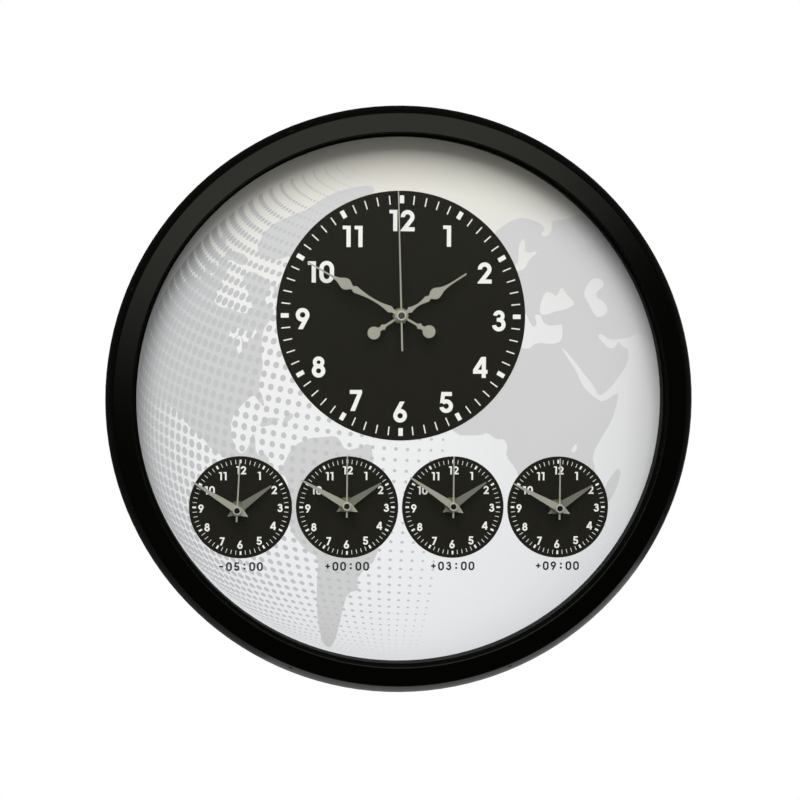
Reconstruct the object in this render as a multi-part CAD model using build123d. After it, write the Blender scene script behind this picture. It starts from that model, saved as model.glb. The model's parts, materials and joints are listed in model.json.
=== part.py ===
from build123d import *
import math
import os

# World time wall clock: one large clock above four small ones on a round dial, in a deep black
# plastic rim with a flat lens. Lengths are in millimetres and angles in degrees.
# The pieces are drawn in the clock's own face frame: x to the right, y up, z out of the wall.
# save() then stands the clock up, with +Z up and the dial looking along -Y.

# Places of the five clocks on the dial
zone_face_r = 35.3
zone_face_gap = 2.6
zone_row_drop = 73.6
main_face_r = 85.7
main_rise = 58.3
zone_count = 4
zone_pitch = 2 * zone_face_r + zone_face_gap
# How far each stem stands to the right of and above the middle of its face: they are fitted by hand
main_stem_shift = (-0.5, 0.2)
zone_stem_shifts = [(-1.7, -0.8), (-0.4, 2.1), (-0.7, 1.8), (-0.6, 0.5)]

# Dial and the layers under the lens
dial_margin = 11.2
board_t = 3.0
sheet_t = 0.4
face_t = 0.1
hand_room = 15.1
lens_t = 2.5
stem_hole_gap = 0.4

# Rim: an upright outer band, a rounded crown and a shallow front face down to the lens
rim_width = 21.3
rim_wall = 2.5
lip_t = 3.0
chamfer_run = 1.6
chamfer_drop = 3.0
front_slope_drop = 2.0
crest_inset = 6.4
crown_drop = 10.0
crown_bulge_share = 0.04
crest_round = 1.2
lip_round = 0.9
lens_margin = 5.2
lens_gap = 0.4
board_gap = 0.3
spacer_wall = 3.4
spacer_gap = 0.3
inner_wall_t = 2.2
inner_wall_skirt = 2.0
web_t = 2.5

# Screws, and the bosses that they bite into
screw_count = 8
screw_r = 1.5
screw_len = 10.0
screw_head_r = 3.0
screw_head_t = 1.6
screw_head_round = 0.5
screw_cross_w = 0.7
screw_cross_len = 3.6
screw_cross_depth = 1.0
screw_thread_gap = 0.02
screw_hole_gap = 0.2
boss_wall = 2.6
boss_web_t = 2.0
boss_extra_depth = 1.5

# Back cover, with a window behind each movement
wall_gap = 3.6
cover_t = 2.0
cover_to_movement = 1.0
cover_gap = 0.3
window_margin = 2.0
window_corner_r = 4.0
clamp_rib_t = 3.0
clamp_rib_inset = 5.0
clamp_gap = 0.1

# Keyhole hanger and the two soft feet at its foot
hanger_rise = 150.0
hanger_w = 56.0
hanger_h = 32.0
hanger_t = 1.2
hanger_corner_r = 3.0
hanger_screw_x = 22.5
hanger_window_w = 34.0
hanger_window_h = 24.0
keyhole_r = 4.5
keyhole_slot_w = 4.4
keyhole_slot_len = 9.0
keyhole_drop = 4.0
bumper_r = 6.0
bumper_x = 72.0
bumper_drop = 164.0
bumper_round = 0.8

# Movement: a square quartz unit clamped to the dial board by its threaded stem
movement_depth = 16.0
movement_corner_r = 3.0
movement_wall = 1.4
movement_cover_t = 1.2
washer_t = 1.0
washer_wall = 4.8
washer_gap = 0.2
stem_r = 4.0
stem_reach = 3.5
stem_flange_t = 0.6
stem_flange_wall = 1.0
nut_flats = 10.2
nut_h = 2.2
nut_chamfer = 0.5
press_gap = 0.02

# Battery, its bay and its contacts
cell_r = 7.25
cell_len = 50.5
cell_nub_r = 2.75
cell_nub_len = 1.0
cell_round = 0.6
bay_gap = 0.55
bay_wall = 1.2
contact_w = 10.0
contact_t = 0.3
contact_gap = 1.05
contact_tip_r = 2.4

# Motor parts and the circuit board inside each movement
stator_x = -12.0
stator_y = 17.0
stator_w = 24.0
stator_h = 16.0
stator_t = 1.0
stator_depth = 5.6
stator_rim = 4.4
rotor_hole_r = 1.4
rotor_hole_inset = 2.2
coil_r = 3.2
coil_flange_t = 0.8
coil_gap = 0.4
post_r = 1.5
post_pin_r = 0.7
post_inset = 2.2
board_w = 22.0
board_h = 12.0
circuit_t = 0.8
circuit_lift = 0.8
circuit_pad_r = 1.6
chip_r = 3.0
chip_t = 0.9

# Hand shafts, one inside the other
second_shaft_r = 0.6
minute_tube_r = 1.6
hour_tube_r = 2.55
shaft_gap = 0.1
hour_tube_over = 3.0
minute_tube_over = 3.0
second_shaft_over = 3.0
hand_collar_t = 1.0

# Wheels: two meshing pairs share one centre distance
gear_distance = 9.6
motion_angle = 45.0
knob_angle = 20.0
cannon_teeth = 12
motion_teeth = 36
pinion_teeth = 10
hour_teeth = 40
centre_teeth = 40
second_teeth = 36
knob_teeth = 12
centre_module = 0.4
addendum_share = 0.8
dedendum_share = 1.2
tooth_root_share = 0.52
tooth_tip_share = 0.2
wheel_t = 0.8
hour_wheel_t = 1.0
hour_wheel_drop = 1.0
pinion_t = 2.2
cannon_t = 1.6
cannon_drop = 2.6
centre_wheel_drop = 7.2
second_wheel_drop = 9.8
minute_tail = 0.6
motion_post_r = 0.75
motion_post_gap = 0.05
motion_post_tail = 0.8
motion_wheel_drop = 3.0
pivot_boss_r = 2.0
pivot_boss_h = 1.6
pivot_gap = 0.05
pivot_floor = 0.4

# Setting knob behind each movement
knob_r = 5.0
knob_h = 2.2
knob_clear = 0.2
knob_shaft_r = 1.0
knob_flute_count = 18
knob_flute_r = 0.4
knob_pivot_depth = 0.7
knob_pinion_t = 0.8

# Hands: plate, hubs and rest angles, clockwise from twelve
hand_t = 0.5
second_hand_t = 0.4
main_hub_r = 4.45
main_ball_r = 4.35
main_ball_s = 21.9
main_minute_len = 73.2
main_minute_half = 3.85
main_hour_len = 53.2
main_hour_half = 3.8
main_tail_half = 2.4
main_second_len = 84.3
main_second_tail = 24.0
main_second_root_w = 1.15
main_second_tip_w = 0.75
main_second_boss_r = 3.3
main_second_cup_r = 2.25
zone_minute_len = 35.5
zone_minute_tail = 8.4
zone_minute_half = 2.45
zone_hour_len = 28.1
zone_hour_tail = 8.1
zone_hour_half = 3.0
zone_hub_r = 3.1
zone_second_len = 34.5
zone_second_tail = 7.8
zone_second_root_w = 1.1
zone_second_tip_w = 0.85
zone_second_boss_r = 2.9
zone_second_cup_r = 1.95
second_boss_t = 2.0
second_cup_depth = 1.4

# Outline of each ornamental hand, from the tip to the hub: share of its length, share of its half width
minute_needle_shares = [(1.0, 0.12), (0.775, 0.145)]
minute_spade_shares = [(0.712, 0.26), (0.655, 0.565), (0.627, 0.86), (0.598, 1.0), (0.565, 0.86), (0.545, 0.56),
                       (0.52, 0.31)]
minute_collar_shares = [(0.492, 0.63), (0.45, 0.475), (0.4, 0.33), (0.34, 0.22), (0.28, 0.205), (0.225, 0.255),
                        (0.18, 0.38), (0.118, 0.62)]
minute_notch_shares = [(0.096, 0.35), (0.04, 0.33)]
hour_needle_shares = [(1.0, 0.14), (0.78, 0.155)]
hour_spade_shares = [(0.7, 0.26), (0.62, 0.54), (0.58, 0.82), (0.538, 1.0), (0.49, 0.86), (0.465, 0.57), (0.44, 0.31)]
hour_collar_shares = [(0.4, 0.58), (0.36, 0.42), (0.31, 0.28), (0.26, 0.21), (0.21, 0.29), (0.175, 0.38),
                      (0.142, 0.6)]
hour_notch_shares = [(0.112, 0.33), (0.05, 0.33)]
# Outline of the counterweight: share of the ball's distance, share of the tail's half width
tail_shares = [(0.15, 0.32), (0.48, 0.31), (0.58, 0.42), (0.66, 1.0), (0.69, 0.66), (0.75, 0.56), (0.9, 0.6)]
# Small clocks' hands: shares of the half width and the length at the blade's ends, and of the tail and the hub's
# radius along the star point
blade_tip_share = 0.18
blade_root_share = 0.07
star_shares = [(0.5, 0.66), (0.75, 0.36), (1.0, 0.08)]

main_angles = (57.1, -60.6, -1.7)
zone_angles = [(54.6, -57.6, 3.0), (57.1, -60.3, 0.3), (55.2, -56.2, 0.3), (57.2, -61.9, 0.1)]

# Heights above the wall, worked out layer by layer
movement_rear_z = wall_gap + knob_h + knob_clear
movement_front_z = movement_rear_z + movement_depth
movement_inner_front_z = movement_front_z - movement_wall
movement_inner_rear_z = movement_rear_z + movement_cover_t
cover_front_z = movement_rear_z - cover_to_movement
cover_rear_z = cover_front_z - cover_t
board_z = movement_front_z + washer_t
sheet_z = board_z + board_t
face_z = sheet_z + sheet_t
nut_z = face_z + face_t
stem_front_z = nut_z + stem_reach
hour_hand_z = stem_front_z + hour_tube_over - hand_collar_t
minute_hand_z = hour_hand_z + minute_tube_over
second_hand_z = minute_hand_z + second_shaft_over
lens_z = face_z + hand_room
lens_front_z = lens_z + lens_t
chamfer_z = lens_front_z + lip_t
rim_front_z = chamfer_z + chamfer_drop
crest_z = rim_front_z - front_slope_drop
band_top_z = crest_z - crown_drop

# Radii, worked out from the dial layout
zone_x = [(i - (zone_count - 1) / 2) * zone_pitch for i in range(zone_count)]
zone_reach = math.hypot(zone_x[-1], zone_row_drop) + zone_face_r
opening_r = max(zone_reach, main_rise + main_face_r) + dial_margin
front_inner_r = opening_r + chamfer_run
lens_r = opening_r + lens_margin
seat_r = lens_r + lens_gap
board_r = seat_r - board_gap
inner_wall_r = seat_r + inner_wall_t
rim_r = opening_r + rim_width
crest_r = rim_r - crest_inset
channel_r = rim_r - rim_wall
boss_ring_r = (inner_wall_r + channel_r) / 2
cover_r = channel_r - cover_gap
stem_bore_r = hour_tube_r + shaft_gap
stem_hole_r = stem_r + stem_hole_gap / 2

# Gear sizes: one centre distance sets both modules
motion_module = 2 * gear_distance / (cannon_teeth + motion_teeth)
hour_module = 2 * gear_distance / (pinion_teeth + hour_teeth)
motion_x = gear_distance * math.cos(math.radians(motion_angle))
motion_y = gear_distance * math.sin(math.radians(motion_angle))
knob_x = motion_x + gear_distance * math.cos(math.radians(knob_angle))
knob_y = motion_y + gear_distance * math.sin(math.radians(knob_angle))

# The movement is as wide as its battery, contacts and walls; the bay lies along its bottom
movement_w = cell_len + 2 * (contact_gap + contact_t + movement_wall)
bay_low_y = -movement_w / 2 + movement_wall
cell_y = bay_low_y + bay_gap + cell_r
bay_high_y = cell_y + cell_r + bay_gap
bay_half_x = movement_w / 2 - movement_wall
cell_z = movement_rear_z + cell_r
hour_wheel_z = movement_inner_front_z - hour_wheel_drop - hour_wheel_t
motion_wheel_z = movement_inner_front_z - motion_wheel_drop - wheel_t
stator_z = movement_inner_front_z - stator_depth - stator_t

# Each face's radius and middle, and each clock's stem
faces = [(main_face_r, 0, main_rise)] + [(zone_face_r, x, -zone_row_drop) for x in zone_x]
clocks = [("main", main_stem_shift[0], main_rise + main_stem_shift[1], main_angles)]
clocks += [(f"zone{i + 1}", x + zone_stem_shifts[i][0], zone_stem_shifts[i][1] - zone_row_drop, zone_angles[i])
           for i, x in enumerate(zone_x)]


def disc(radius, z0, z1, x=0, y=0):
    return Pos(x, y, (z0 + z1) / 2) * Cylinder(radius, z1 - z0)


def ring(outer, inner, z0, z1, x=0, y=0):
    return disc(outer, z0, z1, x, y) - disc(inner, z0, z1, x, y)


def block(x0, x1, y0, y1, z0, z1):
    return Pos((x0 + x1) / 2, (y0 + y1) / 2, (z0 + z1) / 2) * Box(x1 - x0, y1 - y0, z1 - z0)


def slab(width, height, corner, z0, z1, x=0, y=0):
    return Pos(x, y, z0) * extrude(RectangleRounded(width, height, corner), z1 - z0)


def turned(outline):
    """Spin a closed outline of (radius, z) edges about the clock's axis."""
    return revolve(make_face(outline), Axis.Z)


def upright(radius, z):
    return (radius, 0, z)


def around(count, radius, start=0):
    """Evenly spaced places on a circle, as x and y."""
    for i in range(count):
        angle = math.radians(start + i * 360 / count)
        yield radius * math.cos(angle), radius * math.sin(angle)


def save(node, *solids):
    """Stand the solids up, dial towards -Y, and write one STEP for the node."""
    turned_up = [Rot(90, 0, 0) * s for shape in solids for s in shape.solids()]
    shape = turned_up[0] if len(turned_up) == 1 else Compound(children=turned_up)
    export_step(shape, f"parts/{node}.step")


# Rim, lens and what is clamped under the lip
def softened(shape, radius, z, round_r):
    """Round the circular edge that lies nearest to a radius and a height."""
    circles = shape.edges().filter_by(GeomType.CIRCLE)
    nearest = circles.sort_by(lambda e: math.hypot(e.radius - radius, e.arc_center.Z - z))[:1]
    return fillet(nearest, round_r)


def rim():
    middle = ((rim_r + crest_r) / 2 + crown_bulge_share * (crest_z - band_top_z),
              (band_top_z + crest_z) / 2 + crown_bulge_share * (rim_r - crest_r))
    web_z = crest_z - web_t
    skin_r = crest_r - web_t
    corner_z = band_top_z - web_t / 2
    inner_middle = middle[0] - rim_wall, middle[1] - rim_wall
    edges = [
        Line(upright(rim_r, 0), upright(rim_r, band_top_z)),
        ThreePointArc(upright(rim_r, band_top_z), upright(*middle), upright(crest_r, crest_z)),
        Polyline(
            upright(crest_r, crest_z), upright(front_inner_r, rim_front_z),
            upright(opening_r, chamfer_z), upright(opening_r, lens_front_z),
            upright(seat_r, lens_front_z), upright(seat_r, board_z - inner_wall_skirt),
            upright(inner_wall_r, board_z - inner_wall_skirt), upright(inner_wall_r, web_z),
            upright(skin_r, web_z),
        ),
        ThreePointArc(upright(skin_r, web_z), upright(*inner_middle), upright(channel_r, corner_z)),
        Polyline(upright(channel_r, corner_z), upright(channel_r, 0), upright(rim_r, 0)),
    ]
    shell = softened(turned(edges), crest_r, crest_z, crest_round)
    shell = softened(shell, front_inner_r, rim_front_z, lip_round)
    start = 180 / screw_count
    boss_r = screw_r + boss_wall
    for x, y in around(screw_count, boss_ring_r, start):
        boss = disc(boss_r, cover_front_z, web_z, x, y)
        angle = math.degrees(math.atan2(y, x))
        web = block(inner_wall_r, channel_r, -boss_web_t / 2, boss_web_t / 2, board_z, corner_z)
        shell += boss + Rot(0, 0, angle) * web
    for x, y in around(screw_count, boss_ring_r, start):
        deep = cover_rear_z + screw_len + boss_extra_depth
        shell -= disc(screw_r + screw_thread_gap, cover_front_z, deep, x, y)
    return shell


def lens():
    return disc(lens_r, lens_z, lens_front_z)


def spacer_ring():
    return ring(board_r, board_r - spacer_wall, face_z, lens_z)


def pierced(radius, z0, z1):
    """A round layer of the dial with a hole for each stem."""
    layer = disc(radius, z0, z1)
    for name, x, y, angles in clocks:
        layer -= disc(stem_hole_r, z0, z1, x, y)
    return layer


def dial_faces():
    discs = [disc(radius, face_z, nut_z, x, y) for radius, x, y in faces]
    return [face - disc(stem_hole_r, face_z, nut_z, c[1], c[2]) for face, c in zip(discs, clocks)]


# Back cover, hanger, feet and screws
def back_cover():
    plate = disc(cover_r, cover_rear_z, cover_front_z)
    rib_r = board_r - clamp_rib_inset
    plate += ring(rib_r, rib_r - clamp_rib_t, cover_front_z, board_z - clamp_gap)
    window = movement_w + 2 * window_margin
    for name, x, y, angles in clocks:
        plate -= slab(window, window, window_corner_r, cover_rear_z, cover_front_z, x, y)
    for x in (-hanger_screw_x, hanger_screw_x):
        plate += disc(screw_r + boss_wall, cover_front_z, cover_rear_z + screw_len, x, hanger_rise)
    plate -= slab(hanger_window_w, hanger_window_h, hanger_corner_r, cover_rear_z, cover_front_z,
                  0, hanger_rise)
    for x in (-hanger_screw_x, hanger_screw_x):
        deep = cover_rear_z - hanger_t + screw_len
        plate -= disc(screw_r + screw_thread_gap, cover_rear_z, deep, x, hanger_rise)
    for x, y in around(screw_count, boss_ring_r, 180 / screw_count):
        plate -= disc(screw_r + screw_hole_gap, cover_rear_z, cover_front_z, x, y)
    return plate


def screw(x, y, seat_z):
    """A pan-head screw driven from behind, its head seated at seat_z."""
    head = disc(screw_head_r, seat_z - screw_head_t, seat_z)
    head = fillet(head.edges().sort_by(Axis.Z)[:1], screw_head_round)
    arm, half = screw_cross_len / 2, screw_cross_w / 2
    z0 = seat_z - screw_head_t
    head -= block(-arm, arm, -half, half, z0, z0 + screw_cross_depth)
    head -= block(-half, half, -arm, arm, z0, z0 + screw_cross_depth)
    return Pos(x, y, 0) * (head + disc(screw_r, seat_z, seat_z + screw_len))


def cover_screws():
    screws = [screw(x, y, cover_rear_z) for x, y in around(screw_count, boss_ring_r, 180 / screw_count)]
    plate_rear = cover_rear_z - hanger_t
    return screws + [screw(x, hanger_rise, plate_rear) for x in (-hanger_screw_x, hanger_screw_x)]


def hanger_plate():
    z0, z1 = cover_rear_z - hanger_t, cover_rear_z
    plate = slab(hanger_w, hanger_h, hanger_corner_r, z0, z1, 0, hanger_rise)
    hole_y = hanger_rise - keyhole_drop
    plate -= disc(keyhole_r, z0, z1, 0, hole_y)
    slot_r = keyhole_slot_w / 2
    plate -= block(-slot_r, slot_r, hole_y, hole_y + keyhole_slot_len, z0, z1)
    plate -= disc(slot_r, z0, z1, 0, hole_y + keyhole_slot_len)
    for x in (-hanger_screw_x, hanger_screw_x):
        plate -= disc(screw_r + screw_hole_gap, z0, z1, x, hanger_rise)
    return plate


def wall_bumpers():
    feet = []
    for x in (-bumper_x, bumper_x):
        foot = disc(bumper_r, 0, cover_rear_z, x, -bumper_drop)
        feet.append(fillet(foot.edges().sort_by(Axis.Z)[:1], bumper_round))
    return feet


# Movement pieces that stay still, each drawn on the stem's own axis
def movement_case():
    half = movement_w / 2
    shell = slab(movement_w, movement_w, movement_corner_r, movement_inner_rear_z, movement_front_z)
    inner = movement_w - 2 * movement_wall
    inner_corner = movement_corner_r - movement_wall
    shell -= slab(inner, inner, inner_corner, movement_inner_rear_z, movement_inner_front_z)
    shell += block(
        -half + movement_wall, half - movement_wall, bay_high_y, bay_high_y + bay_wall,
        movement_inner_rear_z, movement_inner_front_z,
    )
    post_z = motion_wheel_z - motion_post_tail
    shell += disc(motion_post_r, post_z, movement_inner_front_z, motion_x, motion_y)
    for x, y in stator_posts():
        shell += disc(post_r, stator_z + stator_t, movement_inner_front_z, x, y)
        shell += disc(post_pin_r, stator_z, stator_z + stator_t, x, y)
    shell -= disc(stem_r + press_gap, movement_inner_front_z, movement_front_z)
    knob_hole_z = movement_inner_front_z + knob_pivot_depth
    shell -= disc(knob_shaft_r + pivot_gap, movement_inner_front_z, knob_hole_z, knob_x, knob_y)
    return shell


def stator_posts():
    dx, dy = stator_w / 2 - post_inset, stator_h / 2 - post_inset
    return [(stator_x - dx, stator_y + dy), (stator_x + dx, stator_y + dy)]


def movement_cover():
    z0, z1 = movement_rear_z, movement_inner_rear_z
    plate = slab(movement_w, movement_w, movement_corner_r, z0, z1)
    plate -= block(-bay_half_x, bay_half_x, bay_low_y, bay_high_y, z0, z1)
    plate += disc(pivot_boss_r, z1, z1 + pivot_boss_h)
    plate -= disc(second_shaft_r + pivot_gap, z0 + pivot_floor, z1 + pivot_boss_h)
    plate -= disc(knob_shaft_r + pivot_gap, z0, z1, knob_x, knob_y)
    dx, dy = board_w / 2 - circuit_pad_r, board_h / 2 - circuit_pad_r
    for x in (stator_x - dx, stator_x + dx):
        for y in (stator_y - dy, stator_y + dy):
            plate += disc(circuit_pad_r, z1, z1 + circuit_lift, x, y)
    return plate


def battery():
    barrel = Pos(0, cell_y, cell_z) * Rot(0, 90, 0) * Cylinder(cell_r, cell_len - cell_nub_len)
    barrel = fillet(barrel.edges().filter_by(GeomType.CIRCLE), cell_round)
    nub_x = cell_len / 2 - cell_nub_len / 2
    nub = Pos(nub_x, cell_y, cell_z) * Rot(0, 90, 0) * Cylinder(cell_nub_r, cell_nub_len)
    return Pos(-cell_nub_len / 2, 0, 0) * barrel + nub


def battery_contacts():
    contacts = []
    for side in (-1, 1):
        inner = bay_half_x - contact_t
        leaf = block(inner, bay_half_x, cell_y - contact_w / 2, cell_y + contact_w / 2,
                     cell_z - contact_w / 2, cell_z + contact_w / 2)
        tip = Rot(0, 90, 0) * Cylinder(contact_tip_r, contact_gap)
        contact = leaf + Pos(inner - contact_gap / 2, cell_y, cell_z) * tip
        contacts.append(contact if side > 0 else Rot(0, 0, 180) * Pos(0, -2 * cell_y, 0) * contact)
    return contacts


def circuit_board():
    z0 = movement_inner_rear_z + circuit_lift
    plate = block(stator_x - board_w / 2, stator_x + board_w / 2, stator_y - board_h / 2,
                  stator_y + board_h / 2, z0, z0 + circuit_t)
    return plate + disc(chip_r, z0 + circuit_t, z0 + circuit_t + chip_t, stator_x, stator_y)


def stator():
    z0, z1 = stator_z, stator_z + stator_t
    plate = slab(stator_w, stator_h, post_r, z0, z1, stator_x, stator_y)
    window_w, window_h = stator_window()
    plate -= Pos(stator_x, stator_y, (z0 + z1) / 2) * Box(window_w, window_h, stator_t)
    plate -= disc(rotor_hole_r, z0, z1, stator_x + stator_w / 2 - rotor_hole_inset, stator_y)
    for x, y in stator_posts():
        plate -= disc(post_pin_r + press_gap, z0, z1, x, y)
    return plate


def stator_window():
    return stator_w - 2 * stator_rim, 2 * (coil_r + coil_gap)


def motor_coil():
    length = stator_window()[0]
    place = Pos(stator_x, stator_y, stator_z + stator_t / 2) * Rot(0, 90, 0)
    spool = Cylinder(coil_r - coil_gap, length)
    for side in (-1, 1):
        spool += Pos(0, 0, side * (length - coil_flange_t) / 2) * Cylinder(coil_r, coil_flange_t)
    return place * spool


def stem_bushing():
    flange_z = movement_inner_front_z - stem_flange_t
    stem = disc(stem_r, movement_inner_front_z, stem_front_z)
    stem += disc(stem_r + stem_flange_wall, flange_z, movement_inner_front_z)
    return stem - disc(stem_bore_r, flange_z, stem_front_z)


def seal_washer():
    inner = stem_r + washer_gap
    return ring(inner + washer_wall, inner, movement_front_z, board_z)


def mounting_nut():
    corner_r = nut_flats / math.sqrt(3)
    nut = Pos(0, 0, nut_z) * extrude(RegularPolygon(corner_r, 6), nut_h)
    blank = disc(corner_r, nut_z, nut_z + nut_h)
    blank = chamfer(blank.edges().sort_by(Axis.Z)[-1:], nut_chamfer)
    return nut & blank - disc(stem_r + press_gap, nut_z, nut_z + nut_h)


# Wheels and shafts
def toothed(teeth, module, z0, z1, turn=0):
    """A gear with straight-sided teeth, one of them pointing at the angle turn."""
    pitch_r = teeth * module / 2
    tip_r = pitch_r + addendum_share * module
    root_r = pitch_r - dedendum_share * module
    points = []
    for i in range(teeth):
        for radius, share in ((root_r, -tooth_root_share), (tip_r, -tooth_tip_share),
                              (tip_r, tooth_tip_share), (root_r, tooth_root_share)):
            angle = math.radians(turn + (i + share / 2) * 360 / teeth)
            points.append((radius * math.cos(angle), radius * math.sin(angle)))
    return Pos(0, 0, z0) * extrude(make_face(Polyline(*points, close=True)), z1 - z0)


def hour_wheel():
    bore_r = minute_tube_r + shaft_gap
    wheel = toothed(hour_teeth, hour_module, hour_wheel_z, hour_wheel_z + hour_wheel_t, motion_angle)
    wheel += disc(hour_tube_r, hour_wheel_z, hour_hand_z + hand_t)
    return wheel - disc(bore_r, hour_wheel_z, hour_hand_z + hand_t)


def minute_arbor():
    centre_z = movement_inner_front_z - centre_wheel_drop - wheel_t
    cannon_z = movement_inner_front_z - cannon_drop - cannon_t
    rear_z, front_z = centre_z - minute_tail, minute_hand_z + hand_t
    arbor = disc(minute_tube_r, rear_z, front_z)
    arbor += toothed(centre_teeth, centre_module, centre_z, centre_z + wheel_t)
    arbor += toothed(cannon_teeth, motion_module, cannon_z, cannon_z + cannon_t, motion_angle)
    return arbor - disc(second_shaft_r + shaft_gap, rear_z, front_z)


def second_arbor():
    wheel_z = movement_inner_front_z - second_wheel_drop - wheel_t
    rear_z = movement_rear_z + pivot_floor + pivot_gap
    arbor = disc(second_shaft_r, rear_z, second_hand_z + second_hand_t)
    return arbor + toothed(second_teeth, centre_module, wheel_z, wheel_z + wheel_t)


def motion_wheel():
    to_centre = motion_angle + 180
    wheel_top = motion_wheel_z + wheel_t
    pinion_top = wheel_top + pinion_t
    wheel = toothed(motion_teeth, motion_module, motion_wheel_z, wheel_top, to_centre + 180 / motion_teeth)
    wheel += toothed(pinion_teeth, hour_module, wheel_top, pinion_top, to_centre + 180 / pinion_teeth)
    wheel -= disc(motion_post_r + motion_post_gap, motion_wheel_z, pinion_top)
    return Pos(motion_x, motion_y, 0) * wheel


def setting_knob():
    knob_z = wall_gap
    knob = disc(knob_r, knob_z, knob_z + knob_h)
    for x, y in around(knob_flute_count, knob_r):
        knob -= disc(knob_flute_r, knob_z, knob_z + knob_h, x, y)
    shaft_front = movement_inner_front_z + knob_pivot_depth - pivot_gap
    knob += disc(knob_shaft_r, knob_z + knob_h, shaft_front)
    gap_turn = knob_angle + 180 + 180 / knob_teeth
    knob += toothed(knob_teeth, motion_module, motion_wheel_z, motion_wheel_z + knob_pinion_t, gap_turn)
    return Pos(knob_x, knob_y, 0) * knob


# Hands, drawn pointing at twelve on the stem's own axis
def mirrored_face(edges):
    """A face between edges on the right of the hand and their mirror images."""
    right = Curve() + edges
    return make_face(right.edges() + mirror(right, Plane.YZ).edges())


def scaled(shares, length, half):
    return [(half * across, length * along) for along, across in shares]


def ornamental_hand(length, half, needle, spade, collar, notch, bore_r, z0):
    """Needle, spade, collar and shoulder towards the tip, and a ball counterweight on a short stem."""
    needle, spade = scaled(needle, length, half), scaled(spade, length, half)
    collar, notch = scaled(collar, length, half), scaled(notch, length, half)
    front = [
        Line((0, length), needle[0]),
        Line(needle[0], needle[1]),
        Spline(needle[1], *spade),
        Line(spade[-1], collar[0]),
        Spline(*collar),
        Polyline(collar[-1], *notch, (0, notch[-1][1])),
    ]
    tail = [(main_tail_half * across, -main_ball_s * along) for along, across in tail_shares]
    rear = [
        Line((0, tail[0][1]), tail[0]),
        Line(tail[0], tail[1]),
        Spline(tail[1], tail[2], tail[3]),
        Spline(tail[3], *tail[4:]),
        Line(tail[-1], (0, tail[-1][1])),
    ]
    plate = mirrored_face(front) + mirrored_face(rear) + Circle(main_hub_r)
    plate += Pos(0, -main_ball_s) * Circle(main_ball_r)
    return Pos(0, 0, z0) * extrude(plate - Circle(bore_r), hand_t)


def blade_hand(length, half, tail, bore_r, z0):
    """A long tapering blade with a short star point behind the hub."""
    star = [(zone_hub_r * w, -tail * s) for s, w in star_shares]
    edges = [
        Line((0, length), (half * blade_tip_share, length)),
        Line((half * blade_tip_share, length), (half, length * blade_root_share)),
        Spline((half, length * blade_root_share), *star),
        Line(star[-1], (0, -tail)),
    ]
    plate = mirrored_face(edges) + Circle(zone_hub_r)
    return Pos(0, 0, z0) * extrude(plate - Circle(bore_r), hand_t)


def rod_hand(length, tail, root_w, tip_w, boss_r, cup_r):
    """A plain tapering rod with a round boss, open at the front like a cup."""
    z0 = second_hand_z
    edges = [Polyline((0, length), (tip_w / 2, length), (root_w / 2, 0), (root_w / 2, -tail), (0, -tail))]
    hand = Pos(0, 0, z0) * extrude(mirrored_face(edges), second_hand_t)
    boss_front = z0 + second_boss_t
    hand += disc(boss_r, z0, boss_front)
    hand = fillet(hand.edges().filter_by(GeomType.CIRCLE).sort_by(Axis.Z)[-1:], second_hand_t / 2)
    hand -= disc(cup_r, boss_front - second_cup_depth, boss_front)
    return hand - disc(second_shaft_r + press_gap, z0, z0 + second_hand_t)


def hands(name):
    """Hour, minute and second hand of a clock, all pointing at twelve."""
    hour_bore, minute_bore = hour_tube_r + press_gap, minute_tube_r + press_gap
    if name == "main":
        hour = ornamental_hand(main_hour_len, main_hour_half, hour_needle_shares, hour_spade_shares,
                               hour_collar_shares, hour_notch_shares, hour_bore, hour_hand_z)
        minute = ornamental_hand(main_minute_len, main_minute_half, minute_needle_shares, minute_spade_shares,
                                 minute_collar_shares, minute_notch_shares, minute_bore, minute_hand_z)
        second = rod_hand(main_second_len, main_second_tail, main_second_root_w, main_second_tip_w,
                          main_second_boss_r, main_second_cup_r)
    else:
        hour = blade_hand(zone_hour_len, zone_hour_half, zone_hour_tail, hour_bore, hour_hand_z)
        minute = blade_hand(zone_minute_len, zone_minute_half, zone_minute_tail, minute_bore, minute_hand_z)
        second = rod_hand(zone_second_len, zone_second_tail, zone_second_root_w, zone_second_tip_w,
                          zone_second_boss_r, zone_second_cup_r)
    return hour, minute, second


os.makedirs("parts", exist_ok=True)

save("rim", rim())
save("lens", lens())
save("spacer_ring", spacer_ring())
save("dial_board", pierced(board_r, board_z, sheet_z))
save("dial_sheet", pierced(board_r, sheet_z, face_z))
save("dial_faces", *dial_faces())
save("back_cover", back_cover())
save("cover_screws", *cover_screws())
save("hanger_plate", hanger_plate())
save("wall_bumpers", *wall_bumpers())

# One of each still movement piece, repeated behind every clock
still_pieces = {
    "movement_cases": [movement_case()],
    "movement_covers": [movement_cover()],
    "batteries": [battery()],
    "battery_contacts": battery_contacts(),
    "circuit_boards": [circuit_board()],
    "motor_coils": [motor_coil()],
    "motor_stators": [stator()],
    "stem_bushings": [stem_bushing()],
    "seal_washers": [seal_washer()],
    "mounting_nuts": [mounting_nut()],
}
for node, pieces in still_pieces.items():
    save(node, *[Pos(x, y, 0) * piece for name, x, y, angles in clocks for piece in pieces])

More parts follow.
